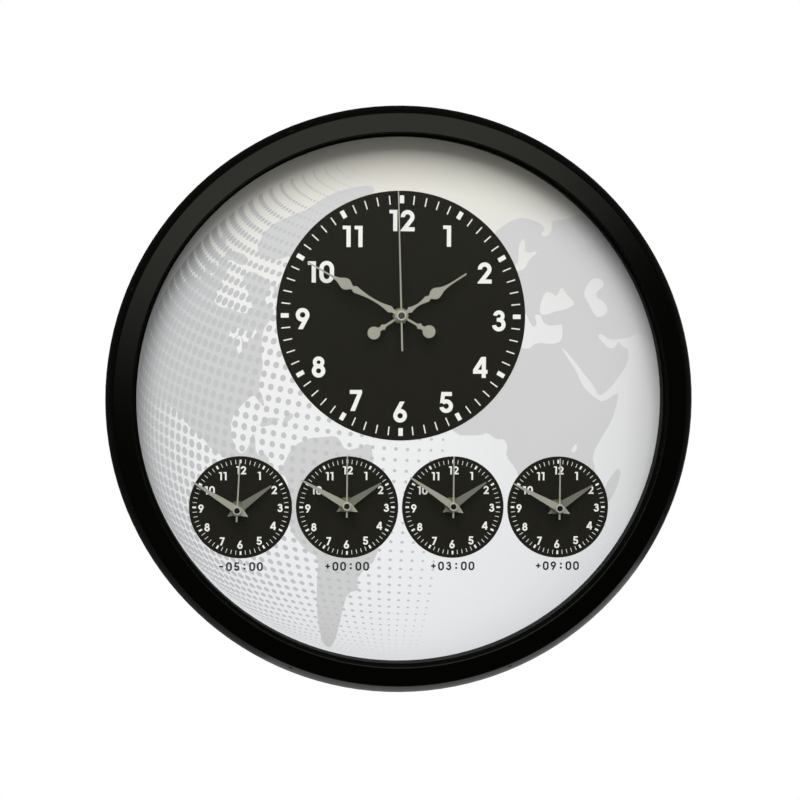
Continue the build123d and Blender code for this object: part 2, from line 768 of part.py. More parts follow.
# Each clock's own moving pieces
wheels = {
    "hour_wheel": hour_wheel(),
    "minute_arbor": minute_arbor(),
    "second_arbor": second_arbor(),
    "motion_wheel": motion_wheel(),
    "setting_knob": setting_knob(),
}
for name, x, y, angles in clocks:
    for kind, hand, angle in zip(("hour", "minute", "second"), hands(name), angles):
        save(f"{name}_{kind}_hand", Pos(x, y, 0) * Rot(0, 0, -angle) * hand)
    for node, wheel in wheels.items():
        save(f"{name}_{node}", Pos(x, y, 0) * wheel)
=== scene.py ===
import json
import math
import bmesh
import bpy
from mathutils import Matrix, Vector, geometry


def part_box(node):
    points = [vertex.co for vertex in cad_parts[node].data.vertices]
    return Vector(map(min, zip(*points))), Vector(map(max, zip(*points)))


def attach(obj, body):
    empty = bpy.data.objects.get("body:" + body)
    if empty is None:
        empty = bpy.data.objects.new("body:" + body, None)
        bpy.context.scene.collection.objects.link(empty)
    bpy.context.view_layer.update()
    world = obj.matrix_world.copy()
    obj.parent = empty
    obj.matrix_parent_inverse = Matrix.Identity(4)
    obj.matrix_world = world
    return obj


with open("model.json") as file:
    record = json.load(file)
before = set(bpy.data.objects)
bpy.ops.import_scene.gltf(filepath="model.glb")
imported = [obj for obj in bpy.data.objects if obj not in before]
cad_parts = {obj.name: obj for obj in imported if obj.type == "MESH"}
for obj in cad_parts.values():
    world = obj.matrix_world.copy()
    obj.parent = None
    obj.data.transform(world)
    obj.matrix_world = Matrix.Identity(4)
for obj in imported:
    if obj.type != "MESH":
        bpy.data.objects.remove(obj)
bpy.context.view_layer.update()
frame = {"record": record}

# The clock hangs on a wall: the dial looks along -Y, and flat drawings are made in millimetres
# as (right, up), then laid on the dial. Everything in Blender is in metres.
MM = 0.001
CLOCKS = ("main", "zone1", "zone2", "zone3", "zone4")

# Camera: about a metre in front, a little to the left of and above the clock's centre. Places are in metres.
CAMERA_LEFT = 0.055
CAMERA_UP = 0.05
CAMERA_AWAY = 1.0
AIM_RIGHT = -0.0005
AIM_UP = 0.0006
ROLL_DEG = 0.33
FOCAL_MM = 65.5
SENSOR_MM = 36.0

# Light: the key lamp in metres and watts, and the levels of the room around, where 1 is white. The panel
# shows in glossy surfaces, from the direction PANEL_WAY, and its edge and core are the cosines between which
# it fades in.
KEY_PLACE = (-0.3, -3.35, 2.6)
KEY_SIZE = 3.1
KEY_WATTS = 234.0
PANEL_WAY = Vector((-0.1, -0.85, 0.5))
PANEL_EDGE = 0.78
PANEL_CORE = 0.96
PANEL_LEVEL = 1.4
PANEL_TINT = (0.96, 1.0, 0.84, 1)
SWEEP_LEVEL = 1.0
FLOOR_GLOSSY = 0.5
ROOM_GLOSSY = 0.03
ROOM_DIFFUSE = 0.34

# The room's floor and sweep fade in between two values of a direction's X, Y or Z
FLOOR_SHOWS_Z = (-0.25, -0.8)
FLOOR_SHOWS_Y = (-0.65, -0.15)
FLOOR_SHOWS_X = (-0.75, 0.1)
FLOOR_LEFT_SHARE = 0.15
SWEEP_GLOSSY_Y = (0.74, 0.9)
SWEEP_DIFFUSE_Y = (-0.3, 0.3)

# The floor stands well below the clock, in metres
FLOOR_HALF = 0.75
FLOOR_RIGHT = 0.4
FLOOR_BACK = 0.65
FLOOR_DOWN = 0.8

# Printed layers, in millimetres above what they are printed on
INK_THICK = 0.03
DOT_INK_THICK = 0.05

# Second hands' bosses, in millimetres: ring and bore radii (small clocks, large clock), the bore's depth,
# how far the ring stands in front, its chamfers as (across, along), its skirt, and the skin's thickness
BOSS_RADII = ((2.95, 1.95), (3.35, 2.25))
BOSS_DEPTH = 1.35
BOSS_RISE = 0.3
BOSS_INNER_CHAMFER = (0.2, 0.18)
BOSS_OUTER_CHAMFER = (0.35, 0.25)
BOSS_SKIRT = 0.25
BORE_CHAMFER = 0.25
BOSS_SKIN = 0.04
BOSS_STEPS = 48

# Rim: the radius in millimetres outside which it is satin, how far its matt inside takes to fade, and the
# tone and the coat of the satin
RIM_WALL_R = 179.75
RIM_WALL_FADE = 0.3
RIM_SATIN_TONE = (0.0004, 0.0004, 0.0001, 1)
RIM_COAT = 0.9
RIM_COAT_ROUGH = 0.18
RIM_COAT_IOR = 1.36

# Dial sheet: its tones from its foot to its top and from left to right, as (share of the way, tone), where
# the way goes as far in metres from the middle to both sides. The grey towards the top and towards both
# sides is painted shade, where the rim shades the sheet.
PAPER_REACH = 0.17
PAPER_SHADE_UPWARD = (
    (0.0, (0.875, 0.885, 0.905)), (0.7, (0.865, 0.865, 0.855)), (0.92, (0.8, 0.785, 0.715)),
    (1.0, (0.67, 0.652, 0.58)),
)
PAPER_SHADE_RIGHTWARD = (
    (0.0, (0.8, 0.8, 0.8)), (0.06, (0.96, 0.96, 0.96)), (0.1, (1.0, 1.0, 1.0)), (0.5, (1.0, 1.0, 1.0)),
    (0.91, (0.905, 0.91, 0.91)), (0.96, (0.87, 0.87, 0.87)), (1.0, (0.76, 0.76, 0.76)),
)

# Cells: half the small clocks' pitch and where the pale band begins, in millimetres from a cell's middle,
# and how much a face has to look sideways to count as an end
CELL_HALF_PITCH = 36.6
CELL_BAND_FROM = 9.0
CELL_END_FACING = 0.7
CELL_BAND_TONE = (0.55, 0.56, 0.57, 1)
CELL_END_TONE = (0.5, 0.5, 0.48, 1)

# Grain: its bump's depth in metres, and how much of its mask the tones and the roughness take up
GRAIN_DEPTH = 0.0002
TONE_SPAN = (0.35, 0.65)
ROUGH_SPAN = (0.3, 0.7)

# Faces: a loose part of the faces' mesh that is narrower than this, in millimetres, is only a hole's wall
FACE_LEAST_WIDTH = 40.0

# Numerals, in millimetres: the height and stroke they are drawn with, their heights on the dial, how far the
# time offsets stand below their clocks' centres, and how far apart digits stand
DIGIT_H = 15.2
STROKE = 3.0
MAIN_DIGIT_H = 14.5
SMALL_DIGIT_H = 5.65
LABEL_DIGIT_H = 5.9
LABEL_DROP = 41.0
LABEL_ADVANCE = 5.3
PAIR_ADVANCE = {"10": 10.6, "11": 8.5, "12": 10.2}
ZONE_OFFSETS = {"zone1": "-05:00", "zone2": "+00:00", "zone3": "+03:00", "zone4": "+09:00"}

# Minute tracks and hours, in millimetres: radii and widths of the marks, and where each numeral stands from
# its clock's centre
MARKS = 60
MARKS_PER_HOUR = 5
MAIN_TICKS = {"outer": 82.5, "hour_inner": 77.1, "minute_inner": 76.5, "hour_w": 3.05, "minute_w": 0.8}
SMALL_TICKS = {"outer": 32.9, "hour_inner": 30.4, "minute_inner": 30.0, "hour_w": 1.25, "minute_w": 0.36}
MAIN_SPOTS = {
    12: (-0.9, 65.3), 1: (31.2, 55.0), 2: (57.3, 30.0), 3: (67.4, -2.9),
    4: (54.9, -35.0), 5: (31.5, -59.3), 6: (-0.4, -66.0), 7: (-30.9, -58.1),
    8: (-56.6, -35.2), 9: (-67.6, -2.1), 10: (-56.3, 29.8), 11: (-33.6, 54.2),
}
SMALL_SPOTS = {
    12: (0.0, 25.6), 1: (12.8, 21.7), 2: (23.0, 12.0), 3: (27.0, -0.4),
    4: (22.3, -12.9), 5: (12.8, -23.2), 6: (-0.4, -25.9), 7: (-12.6, -23.5),
    8: (-22.9, -13.8), 9: (-27.1, -0.8), 10: (-21.5, 11.7), 11: (-12.2, 21.5),
}

# Globe on the dial: plain orthographic views of the world, for the land and for a screen of dots. Radius and
# middle are in millimetres, turn is anticlockwise in degrees, tall stretches the height.
OLD_WORLD_VIEW = {
    "lat": 26.4, "lon": 22.1, "radius": 115.9, "tall": 1.18, "turn": 6.3, "middle": (93.5, 26.3),
}
NEW_WORLD_VIEW = {
    "lat": 16.5, "lon": -82.9, "radius": 90.4, "tall": 1.88, "turn": 21.9, "middle": (-91.7, -31.4),
}
DOT_VIEW = {
    "lat": 16.4, "lon": 0.0, "radius": 186.7, "tall": 0.95, "turn": -2.9, "middle": (6.6, -2.4),
}
PRINT_EDGE_R = 181.0

# Dots: their pitch in degrees, the last longitude with dots, a dot's width as a share of the pitch at
# longitude 0 and how much it loses with each degree to the east, how strongly dots keep their size towards
# the poles, their corners, and the angle from the view's middle past which there are none
DOT_PITCH_DEG = 2.5
DOT_LAST_LON = 8.0
DOT_SHARE_MIDDLE = 0.29
DOT_SHARE_LOSS = 0.0085
DOT_POLE_FADE = 1.4
DOT_STEPS = 12
DOT_LIMB_DEG = 86.5


def read_box(node):
    """A node's lowest and highest corners, in metres."""
    lo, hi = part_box(node)
    return Vector(lo), Vector(hi)


def clock_places():
    """Where each clock's stem stands, as (right, up) in millimetres."""
    joints = {joint["name"]: joint["pos_m"] for joint in frame["record"]["behaviour"]["joints"]}
    stems = {clock: joints[f"{clock}_minute_turn"] for clock in CLOCKS}
    return {clock: (stem[0] / MM, stem[2] / MM) for clock, stem in stems.items()}


def face_places():
    """The middle of each clock's printed face, which is the wide disc of their mesh that its stem is in."""
    bm = bmesh.new()
    bm.from_mesh(bpy.data.objects["dial_faces"].data)
    middles, left = [], set(bm.verts)
    while left:
        disc, edge = set(), [left.pop()]
        while edge:
            vert = edge.pop()
            disc.add(vert)
            near = {link.other_vert(vert) for link in vert.link_edges} & left
            left -= near
            edge += near
        spans = [(min(v.co[axis] for v in disc), max(v.co[axis] for v in disc)) for axis in (0, 2)]
        if min(high - low for low, high in spans) > FACE_LEAST_WIDTH * MM:
            middles.append(tuple((low + high) / 2 / MM for low, high in spans))
    bm.free()
    return {clock: min(middles, key=lambda middle: math.dist(middle, stem))
            for clock, stem in PLACES.items()}


PLACES = clock_places()
FACES = face_places()
SHEET_Y = read_box("dial_sheet")[0].y
FACE_Y = read_box("dial_faces")[0].y


# Flat drawing: closed outlines in millimetres
def arc(cx, cy, rx, ry, start, end, steps=20):
    """Points along an elliptical arc, its angles in degrees from the right, anticlockwise."""
    angles = [math.radians(start + (end - start) * i / steps) for i in range(steps + 1)]
    return [(cx + rx * math.cos(angle), cy + ry * math.sin(angle)) for angle in angles]


def band(cx, cy, outer, inner, start, end, steps=24):
    """A curved stroke between two radii."""
    return arc(cx, cy, outer, outer, start, end, steps) + arc(cx, cy, inner, inner, end, start, steps)


def moved(outlines, dx, dy, scale=1.0, turn=0.0):
    """Outlines scaled, turned clockwise in degrees, then moved."""
    cos, sin = math.cos(math.radians(-turn)) * scale, math.sin(math.radians(-turn)) * scale
    return [[(dx + x * cos - y * sin, dy + x * sin + y * cos) for x, y in outline] for outline in outlines]


def oval(half_w, half_h, round_h):
    """A tall oval with straight sides between its rounded ends."""
    top = arc(0, half_h - round_h, half_w, round_h, 0, 180)
    return top + arc(0, round_h - half_h, half_w, round_h, 180, 360)


def turns_left(outline):
    """True where a closed outline runs anticlockwise, as a fill needs."""
    return sum(x0 * y1 - x1 * y0 for (x0, y0), (x1, y1) in zip(outline, outline[1:] + outline[:1])) > 0


# Glyphs: each is a pair (outlines that are filled, outlines that are cut out), centred on the origin
TOP = DIGIT_H / 2
FOOT = -TOP
BOWL_R = 4.95
BOWL_Y = FOOT + BOWL_R
COUNTER_R = BOWL_R - STROKE


def glyph_zero():
    half_w = 5.25
    return [oval(half_w, 7.95, 5.4)], [oval(half_w - STROKE, 5.1, 3.1)]


def glyph_one():
    left, right, flag = -2.85, 2.85, 2.5
    stem = right - STROKE
    outline = [(stem, FOOT), (right, FOOT), (right, TOP), (left, TOP), (left, TOP - flag), (stem, TOP - flag)]
    return [outline], []


def glyph_two():
    top_y, lean = TOP - BOWL_R, -38
    angle = math.radians(lean)
    bar, left, right = 2.9, -5.2, 5.1
    slope = Vector((math.sin(angle), -math.cos(angle)))
    outer = Vector((BOWL_R * math.cos(angle), top_y + BOWL_R * math.sin(angle)))
    inner = Vector((COUNTER_R * math.cos(angle), top_y + COUNTER_R * math.sin(angle)))
    low = outer + slope * ((FOOT + bar - outer.y) / slope.y)
    corner = inner + slope * ((left - inner.x) / slope.x)
    outline = arc(0, top_y, BOWL_R, BOWL_R, 183, lean, 28)
    outline += [tuple(low), (right, FOOT + bar), (right, FOOT), (left, FOOT), tuple(corner)]
    return [outline + arc(0, top_y, COUNTER_R, COUNTER_R, lean, 183, 24)], []


def glyph_three():
    top_r = 4.15
    top_y = TOP - top_r
    waist = (top_y - top_r + STROKE / 2 + BOWL_Y + BOWL_R - STROKE / 2) / 2
    stub = [(-1.5, waist - 1.3), (1.2, waist - 1.5), (1.2, waist + 1.5), (-1.5, waist + 1.3)]
    return [band(0, top_y, top_r, top_r - STROKE + 0.15, 172, -80),
            band(0, BOWL_Y, BOWL_R, COUNTER_R, 80, -172), stub], []


def glyph_four():
    left, right, stem = -5.3, 5.2, 1.0
    bar_low, bar_high = FOOT + 3.0, FOOT + 5.85
    side = stem + STROKE
    outer = [(left, bar_low), (stem, bar_low), (stem, FOOT), (side, FOOT), (side, bar_low), (right, bar_low),
             (right, bar_high), (side, bar_high), (side, TOP), (0.6, TOP), (left, bar_high)]
    return [outer], [[(-1.75, bar_high), (stem, bar_high), (stem, 2.5)]]


def glyph_five():
    bar = 2.9
    top = [(-3.3, TOP - bar), (4.0, TOP - bar), (4.0, TOP), (-3.6, TOP)]
    stem = [(-4.55, -0.55), (-1.7, -0.1), (-0.75, TOP), (-3.6, TOP)]
    return [top, stem, band(-0.1, BOWL_Y, BOWL_R, COUNTER_R, 142, -168, 32)], []


def glyph_six():
    angle = math.radians(152)
    tangent = Vector((math.sin(angle), -math.cos(angle)))
    foot = Vector((BOWL_R * math.cos(angle), BOWL_Y + BOWL_R * math.sin(angle)))
    inner_foot = Vector((COUNTER_R * math.cos(angle), BOWL_Y + COUNTER_R * math.sin(angle)))
    top = foot + tangent * ((TOP - foot.y) / tangent.y)
    inner_top = inner_foot + tangent * ((TOP - inner_foot.y) / tangent.y)
    stem = [tuple(foot), tuple(inner_foot), tuple(inner_top), tuple(top)]
    bowl = arc(0, BOWL_Y, BOWL_R, BOWL_R, 0, 350, 35)
    return [bowl, stem], [arc(0, BOWL_Y, COUNTER_R, COUNTER_R, 0, 350, 30)]


def glyph_seven():
    bar = 2.9
    outline = [(-4.4, TOP - bar), (1.05, TOP - bar), (-4.1, FOOT), (-0.65, FOOT), (4.4, 5.2), (4.4, TOP),
               (-4.4, TOP)]
    return [outline], []


def glyph_eight():
    top_r = 4.15
    top_y = TOP - top_r
    low_r = 4.85
    low_y = FOOT + low_r
    return ([arc(0, top_y, top_r, top_r, 0, 350, 30), arc(0, low_y, low_r, low_r, 0, 350, 35)],
            [arc(0, top_y, 1.35, 1.35, 0, 350, 24), arc(0, low_y, 1.8, 1.8, 0, 350, 24)])


def glyph_nine():
    fills, cuts = glyph_six()
    return moved(fills, 0, 0, turn=180), moved(cuts, 0, 0, turn=180)


def glyph_colon():
    half, rise = 1.7, 3.6
    return [[(-half, y - half), (half, y - half), (half, y + half), (-half, y + half)]
            for y in (-rise, rise)], []


def glyph_minus():
    reach, half = 3.6, 1.3
    return [[(-reach, -half), (reach, -half), (reach, half), (-reach, half)]], []


def glyph_plus():
    reach, half = 4.2, 1.3
    return [[(-reach, -half), (reach, -half), (reach, half), (-reach, half)],
            [(-half, -reach), (half, -reach), (half, reach), (-half, reach)]], []


GLYPHS = {
    "0": glyph_zero(), "1": glyph_one(), "2": glyph_two(), "3": glyph_three(), "4": glyph_four(),
    "5": glyph_five(), "6": glyph_six(), "7": glyph_seven(), "8": glyph_eight(), "9": glyph_nine(),
    ":": glyph_colon(), "-": glyph_minus(), "+": glyph_plus(),
}


def write(text, x, y, scale, advance):
    """A row of glyphs centred on a place, as outlines to fill and to cut."""
    fills, cuts = [], []
    start = -(len(text) - 1) / 2
    for i, letter in enumerate(text):
        at = x + (start + i) * advance
        fills += moved(GLYPHS[letter][0], at, y, scale)
        cuts += moved(GLYPHS[letter][1], at, y, scale)
    return fills, cuts


# Print: outlines become thin raised ink, so every mark is real geometry
def ink(name, fills, cuts, base_y, thickness, material, lift=0.0):
    """A film of ink over outlines, laid on a face that looks along -Y."""
    bm = bmesh.new()
    corners, faces = [], []
    for outline in fills + cuts:
        faces.append(list(range(len(corners), len(corners) + len(outline))))
        corners += [Vector(p) for p in (outline if turns_left(outline) else outline[::-1])]
    verts, _, tris, _, _, owners = geometry.delaunay_2d_cdt(corners, [], faces, 0, 1e-6)
    points = [bm.verts.new((v.x * MM, base_y - lift * MM, v.y * MM)) for v in verts]
    filled = set(range(len(fills)))
    for tri, owner in zip(tris, owners):
        if owner and filled.issuperset(owner):
            bm.faces.new([points[i] for i in tri])
    bmesh.ops.delete(bm, geom=[v for v in bm.verts if not v.link_faces], context="VERTS")
    raise_ink(name, bm, thickness, material)


def raise_ink(name, bm, thickness, material):
    """Give flat faces the thickness of a printed layer and make them a piece."""
    grown = bmesh.ops.extrude_face_region(bm, geom=bm.faces[:])
    tops = [v for v in grown["geom"] if isinstance(v, bmesh.types.BMVert)]
    bmesh.ops.translate(bm, verts=tops, vec=(0, -thickness * MM, 0))
    bmesh.ops.recalc_face_normals(bm, faces=bm.faces[:])
    finish_piece(name, bm, material, "root")


def finish_piece(name, bm, material, body):
    """Turn a bmesh into a flat-shaded piece that rides a body."""
    mesh = bpy.data.meshes.new(name)
    bm.to_mesh(mesh)
    bm.free()
    mesh.materials.append(material)
    piece = bpy.data.objects.new(name, mesh)
    bpy.context.scene.collection.objects.link(piece)
    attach(piece, body)


# Materials: the shared effect is a node group, and the shaders stay in each material
def feed(tree, socket, value):
    """Link another node's output to a socket, or give the socket a plain value."""
    if isinstance(value, bpy.types.NodeSocket):
        tree.links.new(value, socket)
    else:
        socket.default_value = value


def math_node(tree, operation, *values):
    """What one operation makes of its values."""
    node = tree.nodes.new("ShaderNodeMath")
    node.operation = operation
    for socket, value in zip(node.inputs, values):
        feed(tree, socket, value)
    return node.outputs["Value"]


def carry(tree, value, given, made=(0.0, 1.0), smooth=False):
    """A value carried over from one span to another, held at its ends."""
    node = tree.nodes.new("ShaderNodeMapRange")
    node.interpolation_type = "SMOOTHSTEP" if smooth else "LINEAR"
    for label, end in zip(("From Min", "From Max", "To Min", "To Max"), (*given, *made)):
        node.inputs[label].default_value = end
    tree.links.new(value, node.inputs["Value"])
    return node.outputs["Result"]


def mixed(tree, share, low, high):
    """A value between two others."""
    node = tree.nodes.new("ShaderNodeMix")
    for label, value in (("Factor", share), ("A", low), ("B", high)):
        feed(tree, node.inputs[label], value)
    return node.outputs["Result"]


def laid_over(tree, share, under, over, blend="MIX"):
    """One colour laid over another."""
    node = tree.nodes.new("ShaderNodeMixRGB")
    node.blend_type = blend
    for label, value in (("Fac", share), ("Color1", under), ("Color2", over)):
        feed(tree, node.inputs[label], value)
    return node.outputs["Color"]


def tones(tree, share, stops):
    """A colour that follows a share, by stops of (share, tone)."""
    node = tree.nodes.new("ShaderNodeValToRGB")
    while len(node.color_ramp.elements) < len(stops):
        node.color_ramp.elements.new(0.5)
    for element, (position, tone) in zip(node.color_ramp.elements, stops):
        element.position = position
        element.color = (*tone, 1)
    tree.links.new(share, node.inputs["Fac"])
    return node.outputs["Color"]


def coordinates(tree, output):
    """A place in space as the texture coordinates give it, and its parts X, Y and Z."""
    place = tree.nodes.new("ShaderNodeTexCoord").outputs[output]
    parts = tree.nodes.new("ShaderNodeSeparateXYZ")
    tree.links.new(place, parts.inputs["Vector"])
    return place, parts.outputs


def grain_group():
    """Fine all-over grain and slow blotches on Object coordinates: a mask for colour and a bump normal."""
    group = bpy.data.node_groups.new("surface_grain", "ShaderNodeTree")
    for label in ("Grain per metre", "Blotch per metre", "Blotch share", "Bump"):
        group.interface.new_socket(label, in_out="INPUT", socket_type="NodeSocketFloat")
    group.interface.new_socket("Mask", in_out="OUTPUT", socket_type="NodeSocketFloat")
    group.interface.new_socket("Normal", in_out="OUTPUT", socket_type="NodeSocketVector")
    nodes, links = group.nodes, group.links
    given, made = nodes.new("NodeGroupInput"), nodes.new("NodeGroupOutput")
    place = nodes.new("ShaderNodeTexCoord")
    fine, slow = nodes.new("ShaderNodeTexNoise"), nodes.new("ShaderNodeTexNoise")
    fine.inputs["Detail"].default_value = 3.0
    slow.inputs["Detail"].default_value = 4.0
    for noise, scale in ((fine, "Grain per metre"), (slow, "Blotch per metre")):
        links.new(place.outputs["Object"], noise.inputs["Vector"])
        links.new(given.outputs[scale], noise.inputs["Scale"])
    bump = nodes.new("ShaderNodeBump")
    bump.inputs["Distance"].default_value = GRAIN_DEPTH
    links.new(fine.outputs["Fac"], bump.inputs["Height"])
    links.new(given.outputs["Bump"], bump.inputs["Strength"])
    mask = mixed(group, given.outputs["Blotch share"], fine.outputs["Fac"], slow.outputs["Fac"])
    links.new(mask, made.inputs["Mask"])
    links.new(bump.outputs["Normal"], made.inputs["Normal"])
    return group


GRAIN = grain_group()


def finish(name, dark, light, rough, metallic=0.0, grain=3000.0, blotch=30.0, blotch_share=0.5, bump=0.1,
           specular=0.5):
    """A moulded, rolled or printed surface: two close tones, a span of roughness and a fine bump."""
    mat = bpy.data.materials.new(name)
    mat.use_nodes = True
    tree = mat.node_tree
    shader = tree.nodes["Principled BSDF"]
    effect = tree.nodes.new("ShaderNodeGroup")
    effect.node_tree = GRAIN
    effect.inputs["Grain per metre"].default_value = grain
    effect.inputs["Blotch per metre"].default_value = blotch
    effect.inputs["Blotch share"].default_value = blotch_share
    effect.inputs["Bump"].default_value = bump
    mask = effect.outputs["Mask"]
    colour = tones(tree, mask, tuple(zip(TONE_SPAN, (dark, light))))
    tree.links.new(colour, shader.inputs["Base Color"])
    tree.links.new(carry(tree, mask, ROUGH_SPAN, rough), shader.inputs["Roughness"])
    tree.links.new(effect.outputs["Normal"], shader.inputs["Normal"])
    shader.inputs["Metallic"].default_value = metallic
    shader.inputs["Specular IOR Level"].default_value = specular
    return mat


def grey(level, warm=0.0):
    """A grey, a touch warm (or cool) in red against blue."""
    return (level * (1 + warm), level, level * (1 - warm))


COVER = finish("cover_grained_black", grey(0.012), grey(0.02), (0.5, 0.68), grain=1500, bump=0.5)
SPACER = finish(
    "spacer_matt_black", grey(0.008), grey(0.011), (0.6, 0.75), grain=2500, bump=0.1, specular=0.05)
FACE_BLACK = finish(
    "face_warm_black", (0.0105, 0.0095, 0.0056), (0.0122, 0.011, 0.0066), (0.5, 0.6), grain=6000, blotch=20,
    bump=0.03, specular=0.1)
NUMERAL_WHITE = finish(
    "numeral_white", (0.86, 0.86, 0.82), (0.9, 0.9, 0.87), (0.5, 0.6), grain=6000, bump=0.02, specular=0.3)
LABEL_GREY = finish(
    "label_dark_grey", grey(0.012), grey(0.018), (0.5, 0.6), grain=6000, bump=0.02, specular=0.3)
LAND_GREY = finish(
    "land_grey", (0.625, 0.63, 0.627), (0.647, 0.652, 0.649), (0.55, 0.65), grain=6000, blotch=12, bump=0.02,
    specular=0.3)
DOT_GREY = finish(
    "dot_grey", (0.545, 0.55, 0.56), (0.575, 0.58, 0.59), (0.55, 0.65), grain=6000, bump=0.02, specular=0.3)
HAND = finish(
    "hand_satin", (0.41, 0.405, 0.335), (0.49, 0.485, 0.41), (0.42, 0.55), metallic=0.35, grain=5200,
    blotch=90, blotch_share=0.25, bump=0.12)
# The small clocks' hour hands: the hand finish at about half its tone, a darker copy that is painted shade.
PAINTED_SHADE_HAND = finish(
    "hand_satin_painted_shade", (0.21, 0.21, 0.17), (0.27, 0.27, 0.225), (0.42, 0.55), metallic=0.45, grain=5200,
    blotch=90, blotch_share=0.25, bump=0.12)
CHROME = finish(
    "boss_polished", (0.72, 0.72, 0.65), (0.8, 0.8, 0.73), (0.3, 0.4), metallic=0.6, grain=4000, bump=0.02)
# Painted shade: the bore's lining is a dark metal that stands in for the shade inside the boss's hollow.
PAINTED_SHADE_BORE = finish(
    "boss_bore_painted_shade", grey(0.1, 0.05), grey(0.16, 0.05), (0.12, 0.2), metallic=1.0, grain=4000, bump=0.02)
BRASS = finish(
    "turned_brass", (0.5, 0.46, 0.18), (0.62, 0.58, 0.26), (0.3, 0.4), metallic=1.0, grain=3000, bump=0.06)
STEEL = finish(
    "zinc_steel", grey(0.46, 0.02), grey(0.6, 0.03), (0.3, 0.45), metallic=1.0, grain=2500, blotch=60,
    bump=0.08)
HARDBOARD = finish(
    "hardboard", (0.2, 0.115, 0.055), (0.31, 0.19, 0.1), (0.75, 0.9), grain=900, blotch=50, bump=0.6)
MOVEMENT = finish("movement_black", grey(0.014), grey(0.022), (0.35, 0.5), grain=1800, bump=0.25)
RUBBER = finish("rubber_black", grey(0.012), grey(0.02), (0.75, 0.9), grain=2200, bump=0.3)
ACETAL = finish("acetal_natural", (0.74, 0.72, 0.64), (0.82, 0.8, 0.73), (0.35, 0.5), grain=1800, bump=0.06)
LAMINATE = finish(
    "circuit_green", (0.012, 0.1, 0.035), (0.02, 0.15, 0.055), (0.35, 0.5), grain=1500, bump=0.1)
COPPER = finish(
    "coil_copper", (0.5, 0.16, 0.06), (0.68, 0.26, 0.11), (0.3, 0.42), metallic=1.0, grain=2600, bump=0.3)
KNOB = finish("knob_pale", (0.6, 0.6, 0.56), (0.68, 0.68, 0.64), (0.4, 0.5), grain=1500, bump=0.2)


def rim_satin():
    """Black moulding: satin on its face and band, matt on the wall that drops to the dial."""
    mat = finish(
        "rim_satin_black", (0.002, 0.002, 0.0016), (0.003, 0.003, 0.0024), (0.55, 0.65), grain=2400,
        blotch=14, blotch_share=0.6, bump=0.025, specular=0.0)
    tree = mat.node_tree
    shader = tree.nodes["Principled BSDF"]
    flat = tree.nodes.new("ShaderNodeVectorMath")
    flat.operation = "MULTIPLY"
    flat.inputs[1].default_value = (1, 0, 1)
    reach = tree.nodes.new("ShaderNodeVectorMath")
    reach.operation = "LENGTH"
    tree.links.new(tree.nodes.new("ShaderNodeTexCoord").outputs["Object"], flat.inputs[0])
    tree.links.new(flat.outputs["Vector"], reach.inputs[0])
    wall = (RIM_WALL_R * MM, (RIM_WALL_R + RIM_WALL_FADE) * MM)
    outside = carry(tree, reach.outputs["Value"], wall, (0.0, RIM_COAT))
    matt = shader.inputs["Base Color"].links[0].from_socket
    tree.links.new(laid_over(tree, outside, matt, RIM_SATIN_TONE), shader.inputs["Base Color"])
    tree.links.new(outside, shader.inputs["Coat Weight"])
    shader.inputs["Coat Roughness"].default_value = RIM_COAT_ROUGH
    shader.inputs["Coat IOR"].default_value = RIM_COAT_IOR
    return mat


def dial_paper():
    """The sheet's ground: nearly white and cooler towards the foot; the warm grey at the top and the grey
    towards both sides are painted shade, where the rim shades the sheet."""
    mat = finish(
        "dial_ground_painted_shade", grey(0.8), grey(0.83), (0.55, 0.65), grain=6000, blotch=10, bump=0.02, specular=0.3)
    tree = mat.node_tree
    _, parts = coordinates(tree, "Object")
    span = (-PAPER_REACH, PAPER_REACH)
    # Painted shade: the ground greys and warms towards the top and greys towards both sides, where the rim
    # shades the sheet.
    upward = tones(tree, carry(tree, parts["Z"], span), PAPER_SHADE_UPWARD)
    rightward = tones(tree, carry(tree, parts["X"], span), PAPER_SHADE_RIGHTWARD)
    painted_shade_ground = laid_over(tree, 1.0, upward, rightward, "MULTIPLY")
    tree.links.new(painted_shade_ground, tree.nodes["Principled BSDF"].inputs["Base Color"])
    return mat


def lens_clear():
    """A clear, thin, lightly reflecting pane that lamps shine through."""
    mat = bpy.data.materials.new("lens_clear")
    mat.use_nodes = True
    shader = mat.node_tree.nodes["Principled BSDF"]
    shader.inputs["Base Color"].default_value = (0.03, 0.035, 0.035, 1)
    shader.inputs["Roughness"].default_value = 0.04
    shader.inputs["Alpha"].default_value = 0.05
    return mat


def battery_jacket():
    """A plain cell: a dark blue jacket with a pale band towards its positive end, and bare metal ends."""
    mat = finish(
        "battery_jacket", (0.015, 0.035, 0.09), (0.02, 0.045, 0.11), (0.25, 0.35), grain=1500, bump=0.03)
    tree = mat.node_tree
    shader = tree.nodes["Principled BSDF"]
    _, parts = coordinates(tree, "Object")
    facing = tree.nodes.new("ShaderNodeSeparateXYZ")
    tree.links.new(tree.nodes.new("ShaderNodeNewGeometry").outputs["True Normal"], facing.inputs["Vector"])
    half_pitch = CELL_HALF_PITCH * MM
    aside = math_node(tree, "MULTIPLY", math_node(tree, "LESS_THAN", parts["Z"], 0.0), half_pitch)
    along = math_node(tree, "WRAP", math_node(tree, "ADD", parts["X"], aside), half_pitch, -half_pitch)
    towards_end = math_node(tree, "GREATER_THAN", along, CELL_BAND_FROM * MM)
    sideways = math_node(tree, "ABSOLUTE", facing.outputs["X"])
    ends = math_node(tree, "GREATER_THAN", sideways, CELL_END_FACING)
    jacket = shader.inputs["Base Color"].links[0].from_socket
    banded = laid_over(tree, towards_end, jacket, CELL_BAND_TONE)
    tree.links.new(laid_over(tree, ends, banded, CELL_END_TONE), shader.inputs["Base Color"])
    tree.links.new(ends, shader.inputs["Metallic"])
    return mat


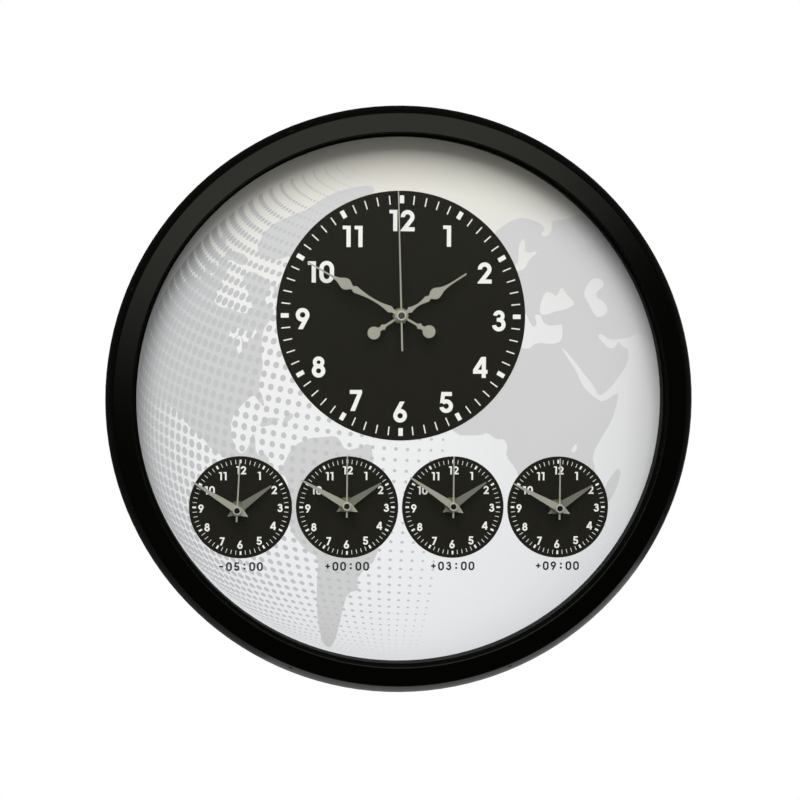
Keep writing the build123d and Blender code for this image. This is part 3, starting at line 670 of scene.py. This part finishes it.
# What each solid is made of
NODE_FINISH = {
    "rim": rim_satin(), "lens": lens_clear(), "spacer_ring": SPACER, "dial_board": HARDBOARD,
    "dial_sheet": dial_paper(), "dial_faces": FACE_BLACK, "back_cover": COVER, "cover_screws": STEEL,
    "hanger_plate": STEEL, "wall_bumpers": RUBBER, "movement_cases": MOVEMENT, "movement_covers": MOVEMENT,
    "batteries": battery_jacket(), "battery_contacts": STEEL, "circuit_boards": LAMINATE,
    "motor_coils": COPPER, "motor_stators": STEEL, "stem_bushings": BRASS, "seal_washers": RUBBER,
    "mounting_nuts": BRASS,
}
CLOCK_FINISH = {
    "minute_hand": HAND, "second_hand": HAND, "hour_wheel": ACETAL, "minute_arbor": ACETAL,
    "second_arbor": STEEL, "motion_wheel": ACETAL, "setting_knob": KNOB,
}
for clock in CLOCKS:
    # The small clocks' hour hands take the darker copy of the hand finish, which is painted shade.
    NODE_FINISH[f"{clock}_hour_hand"] = HAND if clock == "main" else PAINTED_SHADE_HAND
    for kind, mat in CLOCK_FINISH.items():
        NODE_FINISH[f"{clock}_{kind}"] = mat

for node, mat in NODE_FINISH.items():
    for slot in bpy.data.objects[node].material_slots:
        slot.material = mat


# Numerals, minute tracks and the time offsets under the small clocks
def ticks(x, y, sizes):
    """The marks around a dial, every fifth one short and broad."""
    marks = []
    for i in range(MARKS):
        hour = i % MARKS_PER_HOUR == 0
        half = (sizes["hour_w"] if hour else sizes["minute_w"]) / 2
        inner = sizes["hour_inner"] if hour else sizes["minute_inner"]
        mark = [(-half, inner), (half, inner), (half, sizes["outer"]), (-half, sizes["outer"])]
        marks += moved([mark], x, y, turn=i * 360 / MARKS)
    return marks


def numerals(clock, spots, scale, sizes):
    """One clock's numerals and minute track, laid on its black face."""
    x, y = FACES[clock]
    fills, cuts = ticks(x, y, sizes), []
    for number, (dx, dy) in spots.items():
        text = str(number)
        more, less = write(text, x + dx, y + dy, scale, PAIR_ADVANCE.get(text, 0) * scale)
        fills += more
        cuts += less
    ink(f"{clock}_numerals", fills, cuts, FACE_Y, INK_THICK, NUMERAL_WHITE)


numerals("main", MAIN_SPOTS, MAIN_DIGIT_H / DIGIT_H, MAIN_TICKS)
for clock, text in ZONE_OFFSETS.items():
    numerals(clock, SMALL_SPOTS, SMALL_DIGIT_H / DIGIT_H, SMALL_TICKS)
    x, y = FACES[clock]
    fills, cuts = write(text, x, y - LABEL_DROP, LABEL_DIGIT_H / DIGIT_H, LABEL_ADVANCE)
    ink(f"{clock}_offset", fills, cuts, SHEET_Y, INK_THICK, LABEL_GREY, lift=DOT_INK_THICK)


# Second hands' bosses: a bright turned ring around a bore lined with dark metal, which is painted shade in
# the hollow
def boss(clock):
    """A ring that caps the boss and a cup of dark metal, painted shade, that lines its bore, spun about the
    clock's stem. The skin grows against its faces' direction, so the ring's are turned round first for it to
    grow outwards."""
    x, y = PLACES[clock]
    front = read_box(f"{clock}_second_hand")[0].y
    ring_r, bore_r = BOSS_RADII[clock == "main"]
    inner_across, inner_along = BOSS_INNER_CHAMFER
    outer_across, outer_along = BOSS_OUTER_CHAMFER
    ring = [(bore_r, 0.0), (bore_r, inner_along - BOSS_RISE), (bore_r + inner_across, -BOSS_RISE),
            (ring_r - outer_across, -BOSS_RISE), (ring_r, outer_along - BOSS_RISE), (ring_r, BOSS_SKIRT)]
    bore = [(0.0, BOSS_DEPTH), (bore_r - BORE_CHAMFER, BOSS_DEPTH), (bore_r, BOSS_DEPTH - BORE_CHAMFER),
            (bore_r, 0.0)]
    for name, outline, material in (("ring", ring, CHROME), ("bore", bore, PAINTED_SHADE_BORE)):
        bm = bmesh.new()
        verts = [bm.verts.new((r * MM, front + drop * MM, 0)) for r, drop in outline]
        edges = [bm.edges.new(pair) for pair in zip(verts, verts[1:])]
        bmesh.ops.spin(
            bm, geom=verts + edges, cent=(0, 0, 0), axis=(0, 1, 0), angle=math.tau, steps=BOSS_STEPS,
            use_merge=True)
        bmesh.ops.remove_doubles(bm, verts=bm.verts[:], dist=1e-6)
        bmesh.ops.recalc_face_normals(bm, faces=bm.faces[:])
        if name == "ring":
            bmesh.ops.reverse_faces(bm, faces=bm.faces[:])
        bmesh.ops.solidify(bm, geom=bm.faces[:], thickness=BOSS_SKIN * MM)
        bmesh.ops.translate(bm, verts=bm.verts[:], vec=(x * MM, 0, y * MM))
        finish_piece(f"{clock}_boss_{name}", bm, material, f"{clock}_second")


for clock in CLOCKS:
    boss(clock)


# Globe: rough coasts given as (latitude, longitude), waters that cut into them, and islands
AFRICA_EURASIA = [
    (36, -6), (34, -7), (30, -10), (27, -13), (21, -17), (15, -17), (12, -17), (8, -13), (4.5, -8), (5, -4),
    (5.5, 1), (6.5, 3), (4.3, 6), (4.5, 9), (2, 10), (-1, 9), (-5, 12), (-9, 13), (-15, 12), (-20, 13.5),
    (-25, 15), (-29, 17), (-34, 18.5), (-34.5, 22), (-33, 27), (-29, 32), (-26, 33), (-22, 35.5), (-19, 35),
    (-15, 40.5), (-10, 40), (-5, 39), (0, 43), (4, 47.5), (10.5, 51.3), (11.7, 51), (10.5, 45), (12, 43),
    (15, 40), (18, 38), (22, 37), (27, 34), (30, 32.5), (28, 34.5), (24, 37.5), (20, 40), (16, 42.7),
    (13, 43.5), (12.8, 45), (14, 49), (16, 52.5), (18, 57), (22, 59.8), (24, 57), (26, 56.2), (24.5, 54),
    (25, 51.5), (27, 50), (30, 48), (30, 50), (27.5, 52.5), (26.5, 56), (25.3, 61), (25, 66.5), (22, 69),
    (20, 72.5), (15, 74), (10, 76), (8, 77.5), (12, 80), (18, 84), (22, 89), (30, 95), (45, 95), (58, 90),
    (66, 80), (67.5, 68), (68.5, 58), (70, 50), (66.5, 46), (64.5, 40), (66, 34), (67.5, 41), (70.5, 38),
    (73.5, 26), (74, 15), (72, 3), (67, -8), (61, -6), (58, 4), (59, 10.5), (57, 12.5), (56.5, 15),
    (59, 16.5), (63, 16), (66, 20), (64, 21.5), (60.3, 20.5), (60.5, 31), (58, 23), (55, 20), (54.3, 14),
    (54.5, 10), (57.5, 10), (55.5, 8), (53.5, 7), (51.5, 3.5), (49.5, 0), (48.5, -4.5), (46, -1.5),
    (43.5, -2), (43.5, -9), (38.5, -9.5), (37, -8.5), (37, -6),
]
GREAT_SEAS = [
    [(36, -5), (36.7, -2), (39, 0), (41.5, 3), (43.3, 4), (44.3, 8.8), (42.5, 11), (40.7, 14), (38.2, 16),
     (38, 15.5), (39.5, 16.8), (40, 18.4), (41.9, 15.5), (44, 12.5), (45.6, 13.3), (43.5, 16),
     (41.5, 19.5), (38.5, 20.8), (36.7, 22.6), (38, 24), (40.5, 23), (40.5, 26), (38, 26.5), (36.7, 29),
     (36.3, 32.5), (36.5, 34.6), (34, 34.3), (31.3, 33), (31.2, 29), (32.5, 23), (30.4, 19), (32.8, 14),
     (34, 10.3), (37, 10.5), (36.8, 4), (35.2, -2), (35.8, -5)],
    [(40.6, 25.5), (43.5, 26.5), (47, 29.5), (46.3, 33), (44.5, 34.5), (47.5, 38.5), (45, 39.5), (41, 43),
     (40.3, 38), (40.5, 33), (40, 28)],
    [(44.5, 50), (46.5, 55), (45, 60), (42.5, 59.5), (42.3, 55), (40.8, 53), (38.5, 56), (35, 56.5),
     (34.5, 51), (37, 49), (39.5, 49), (41.5, 48), (43, 48)],
    [(-1, 32), (0.4, 33.8), (-1.2, 34.1), (-2.6, 33), (-2.2, 31.8)],
]
OLD_WORLD_ISLANDS = [
    [(50, -5.3), (51, 1.3), (53, 0.3), (55, -1.5), (57.5, -2), (58.6, -3.2), (58, -5.6), (55.5, -5.3),
     (54, -3), (53.2, -4.5), (51.8, -5), (51.4, -3)],
    [(51.6, -9.5), (52.2, -6.4), (54.5, -5.6), (55.3, -7.4), (54, -10), (52.8, -9.7)],
    [(63.5, -19), (64.3, -14.5), (66.3, -15), (66, -20), (66.3, -23), (64, -22)],
    [(-12, 49.3), (-16, 50.4), (-25, 47), (-25.2, 44.3), (-21, 43.5), (-16.5, 44.5)],
]
AMERICAS = [
    (70, -141), (70, -128), (68, -115), (68.5, -98), (71.5, -94), (69.5, -85), (66.5, -84), (65, -90),
    (62.5, -97), (60, -101), (57, -96), (54.5, -87), (51, -81), (49, -73), (52.5, -73.5), (57, -73),
    (60.5, -74), (61.5, -69), (58.5, -66), (60.3, -64.5), (55, -59), (51.5, -56), (50, -65), (46.5, -64),
    (45, -61.5), (43.5, -66), (43, -70.5), (41, -73.5), (37, -76), (35, -76), (31, -81.3), (27, -80),
    (25.2, -80.5), (28, -82.8), (30, -84), (29.5, -90), (28, -97), (22, -97.8), (18.5, -95), (19, -91),
    (21.5, -88.5), (21, -87), (16, -88.5), (15, -83.3), (10.5, -83.5), (9, -79.5), (11.5, -74), (12, -71.5),
    (10.5, -64), (8.5, -60), (6, -54), (4, -51.5), (0, -50), (-2.8, -43), (-5, -36), (-8, -35), (-13, -36),
    (-20, -33.5), (-30, -32), (-38.5, -33), (-36, -44), (-36, -51), (-41.5, -47.5), (-37.2, -57),
    (-42.5, -60.5), (-49, -63), (-54, -65), (-55, -69), (-50, -74), (-43, -75.8), (-34, -76), (-24, -73.5),
    (-18.5, -70.8), (-14, -76), (-6, -81), (0, -80), (4, -77.5), (8, -78.5), (7.5, -82), (13, -88),
    (16, -96), (19.5, -101), (23, -108), (27, -112.5), (29, -117), (33, -123.5), (36, -131), (37.5, -140),
    (37, -155), (50, -165), (62, -160),
]
INLAND_WATERS = [
    [(47, -93), (49.5, -88.5), (47, -83), (46, -88)],
    [(41.3, -88), (46, -87.8), (46, -84), (42, -85)],
    [(42.5, -83), (46.8, -84.5), (45.5, -79), (43, -80.5)],
    [(42.8, -79.8), (45, -75.5), (43, -75)],
    [(65, -122), (66.5, -119), (65.5, -117.5)],
    [(61, -116), (62.5, -110), (61.5, -113)],
]
NEW_WORLD_ISLANDS = [
    [(47.5, -59), (51.5, -55.8), (47, -53), (46.7, -56)],
    [(21.8, -85), (23.2, -82), (20.3, -74.2), (20, -77.5)],
    [(19.8, -73.2), (19.7, -69.8), (18.3, -68.5), (18, -71.5), (18.3, -74.3)],
    [(73, -85), (73.5, -78), (70, -68), (66, -62), (63, -65), (65.5, -73), (69.5, -78), (70, -88)],
    [(76.5, -80), (83, -70), (81, -90), (77, -89)],
    [(72.5, -95), (73, -115), (69, -114), (69, -103)],
]
NORTHERN_LAND = [
    (43, -53), (46, -58.5), (51, -61), (55.5, -57), (58.5, -53), (64, -52.5), (68.5, -47), (71.5, -37),
    (69.5, -29), (62, -33), (54, -36), (45, -43),
]


def on_view(view, lat, lon):
    """Where a place on the globe falls on the dial, and how many degrees it is from the view's middle."""
    lat, away, tilt = math.radians(lat), math.radians(lon - view["lon"]), math.radians(view["lat"])
    x = math.cos(lat) * math.sin(away)
    y = math.cos(tilt) * math.sin(lat) - math.sin(tilt) * math.cos(lat) * math.cos(away)
    depth = math.sin(tilt) * math.sin(lat) + math.cos(tilt) * math.cos(lat) * math.cos(away)
    far = math.degrees(math.acos(max(-1.0, min(1.0, depth))))
    if far > 90:
        reach = math.hypot(x, y)
        x, y = x / reach, y / reach
    turn = math.radians(view["turn"])
    right = view["middle"][0] + view["radius"] * (x * math.cos(turn) - y * math.sin(turn))
    up = view["middle"][1] + view["radius"] * view["tall"] * (x * math.sin(turn) + y * math.cos(turn))
    return right, up, far


def coast(view, points):
    """A coast on the dial, its corners cut once to soften them, drawn in where it passes the print's edge."""
    outline = []
    for (lat0, lon0), (lat1, lon1) in zip(points, points[1:] + points[:1]):
        for share in (0.25, 0.75):
            x, y, _ = on_view(view, lat0 + (lat1 - lat0) * share, lon0 + (lon1 - lon0) * share)
            reach = max(1.0, math.hypot(x, y) / PRINT_EDGE_R)
            outline.append((x / reach, y / reach))
    return outline


def dots():
    """The dot screen: rows along latitudes and columns along longitudes, each dot lying on its globe."""
    bm = bmesh.new()
    steps = int(90 / DOT_PITCH_DEG)
    pitch = math.radians(DOT_PITCH_DEG) * DOT_VIEW["radius"] * MM
    for row in range(-steps, steps):
        lat = (row + 0.5) * DOT_PITCH_DEG
        for column in range(-steps, int(DOT_LAST_LON / DOT_PITCH_DEG) + 1):
            lon = column * DOT_PITCH_DEG
            x, y, far = on_view(DOT_VIEW, lat, lon)
            if far > DOT_LIMB_DEG or math.hypot(x, y) > PRINT_EDGE_R:
                continue
            fade = min(1.0, DOT_POLE_FADE * math.cos(math.radians(lat)) ** 2)
            radius = pitch * (DOT_SHARE_MIDDLE - DOT_SHARE_LOSS * lon) / 2 * fade
            squeeze = math.cos(math.radians(far))
            away = math.atan2(y - DOT_VIEW["middle"][1], x - DOT_VIEW["middle"][0])
            place = (Matrix.Translation((x * MM, SHEET_Y, y * MM)) @ Matrix.Rotation(-away, 4, "Y")
                     @ Matrix.Diagonal((squeeze, 1, 1, 1)) @ Matrix.Rotation(math.pi / 2, 4, "X"))
            bmesh.ops.create_circle(bm, cap_ends=True, segments=DOT_STEPS, radius=radius, matrix=place)
    raise_ink("globe_dots", bm, DOT_INK_THICK, DOT_GREY)


land = [coast(OLD_WORLD_VIEW, outline) for outline in [AFRICA_EURASIA] + OLD_WORLD_ISLANDS]
land += [coast(NEW_WORLD_VIEW, outline) for outline in [AMERICAS] + NEW_WORLD_ISLANDS]
land.append(coast(DOT_VIEW, NORTHERN_LAND))
water = [coast(OLD_WORLD_VIEW, outline) for outline in GREAT_SEAS]
water += [coast(NEW_WORLD_VIEW, outline) for outline in INLAND_WATERS]
ink("globe_land", land, water, SHEET_Y, INK_THICK, LAND_GREY)
dots()


# Camera, lights and surroundings
def add_camera():
    """The photograph's camera, turned a little about its own line of sight."""
    data = bpy.data.cameras.new("camera")
    data.lens = FOCAL_MM
    data.sensor_width = SENSOR_MM
    camera = bpy.data.objects.new("camera", data)
    camera.location = (-CAMERA_LEFT, SHEET_Y - CAMERA_AWAY, CAMERA_UP)
    aim = Vector((AIM_RIGHT, SHEET_Y, AIM_UP))
    look = (aim - camera.location).to_track_quat("-Z", "Y").to_matrix()
    camera.rotation_euler = (look @ Matrix.Rotation(math.radians(ROLL_DEG), 3, "Z")).to_euler()
    bpy.context.scene.collection.objects.link(camera)
    bpy.context.scene.camera = camera


def add_key():
    """The key lamp: a large soft square up in front, aimed at the origin."""
    data = bpy.data.lights.new("key_top_left", "AREA")
    data.shape = "SQUARE"
    data.size = KEY_SIZE
    data.energy = KEY_WATTS
    lamp = bpy.data.objects.new("key_top_left", data)
    lamp.location = KEY_PLACE
    lamp.rotation_euler = (-Vector(KEY_PLACE)).to_track_quat("-Z", "Y").to_euler()
    lamp.visible_glossy = False
    bpy.context.scene.collection.objects.link(lamp)


def add_world():
    """A white sweep behind the clock and below it, a dim room in front, and a soft panel of light up in front
    on the left that shows in glossy surfaces only."""
    world = bpy.data.worlds.new("studio")
    world.use_nodes = True
    tree = world.node_tree
    way, parts = coordinates(tree, "Generated")
    toward = tree.nodes.new("ShaderNodeVectorMath")
    toward.operation = "DOT_PRODUCT"
    toward.inputs[1].default_value = PANEL_WAY.normalized()
    tree.links.new(way, toward.inputs[0])

    def fade(value, span, levels):
        """A level that rises softly from one to another over a span."""
        return carry(tree, value, span, levels, smooth=True)

    panel = fade(toward.outputs["Value"], (PANEL_EDGE, PANEL_CORE), (0.0, PANEL_LEVEL))
    floor = math_node(tree, "MULTIPLY", fade(parts["Z"], FLOOR_SHOWS_Z, (0.0, FLOOR_GLOSSY)),
                      fade(parts["Y"], FLOOR_SHOWS_Y, (0.0, 1.0)))
    floor = math_node(tree, "MULTIPLY", floor, fade(parts["X"], FLOOR_SHOWS_X, (FLOOR_LEFT_SHARE, 1.0)))
    sweep = math_node(tree, "MAXIMUM", floor, fade(parts["Y"], SWEEP_GLOSSY_Y, (0.0, SWEEP_LEVEL)))
    glossy = math_node(tree, "ADD", math_node(tree, "ADD", panel, sweep), ROOM_GLOSSY)
    diffuse = fade(parts["Y"], SWEEP_DIFFUSE_Y, (ROOM_DIFFUSE, SWEEP_LEVEL))

    rays = tree.nodes.new("ShaderNodeLightPath").outputs
    seen = math_node(tree, "MAXIMUM", rays["Is Camera Ray"], rays["Is Transmission Ray"])
    lit = mixed(tree, rays["Is Glossy Ray"], diffuse, glossy)
    in_panel = math_node(tree, "MULTIPLY", panel, rays["Is Glossy Ray"])
    background = tree.nodes["Background"]
    tree.links.new(mixed(tree, seen, lit, 1.0), background.inputs["Strength"])
    tree.links.new(laid_over(tree, in_panel, (1, 1, 1, 1), PANEL_TINT), background.inputs["Color"])
    bpy.context.scene.world = world


def add_floor():
    """A plain pale floor, well below the clock and behind it."""
    bm = bmesh.new()
    bmesh.ops.create_grid(bm, x_segments=1, y_segments=1, size=FLOOR_HALF)
    bmesh.ops.translate(bm, verts=bm.verts[:], vec=(FLOOR_RIGHT, FLOOR_BACK, -FLOOR_DOWN))
    mesh = bpy.data.meshes.new("floor")
    bm.to_mesh(mesh)
    bm.free()
    pale = finish("floor_pale", grey(0.55), grey(0.57), (0.7, 0.8), grain=200, blotch=2, bump=0.02)
    mesh.materials.append(pale)
    floor = bpy.data.objects.new("floor", mesh)
    bpy.context.scene.collection.objects.link(floor)


add_camera()
add_world()
add_floor()
add_key()

scene = bpy.context.scene
scene.view_settings.view_transform = "Standard"
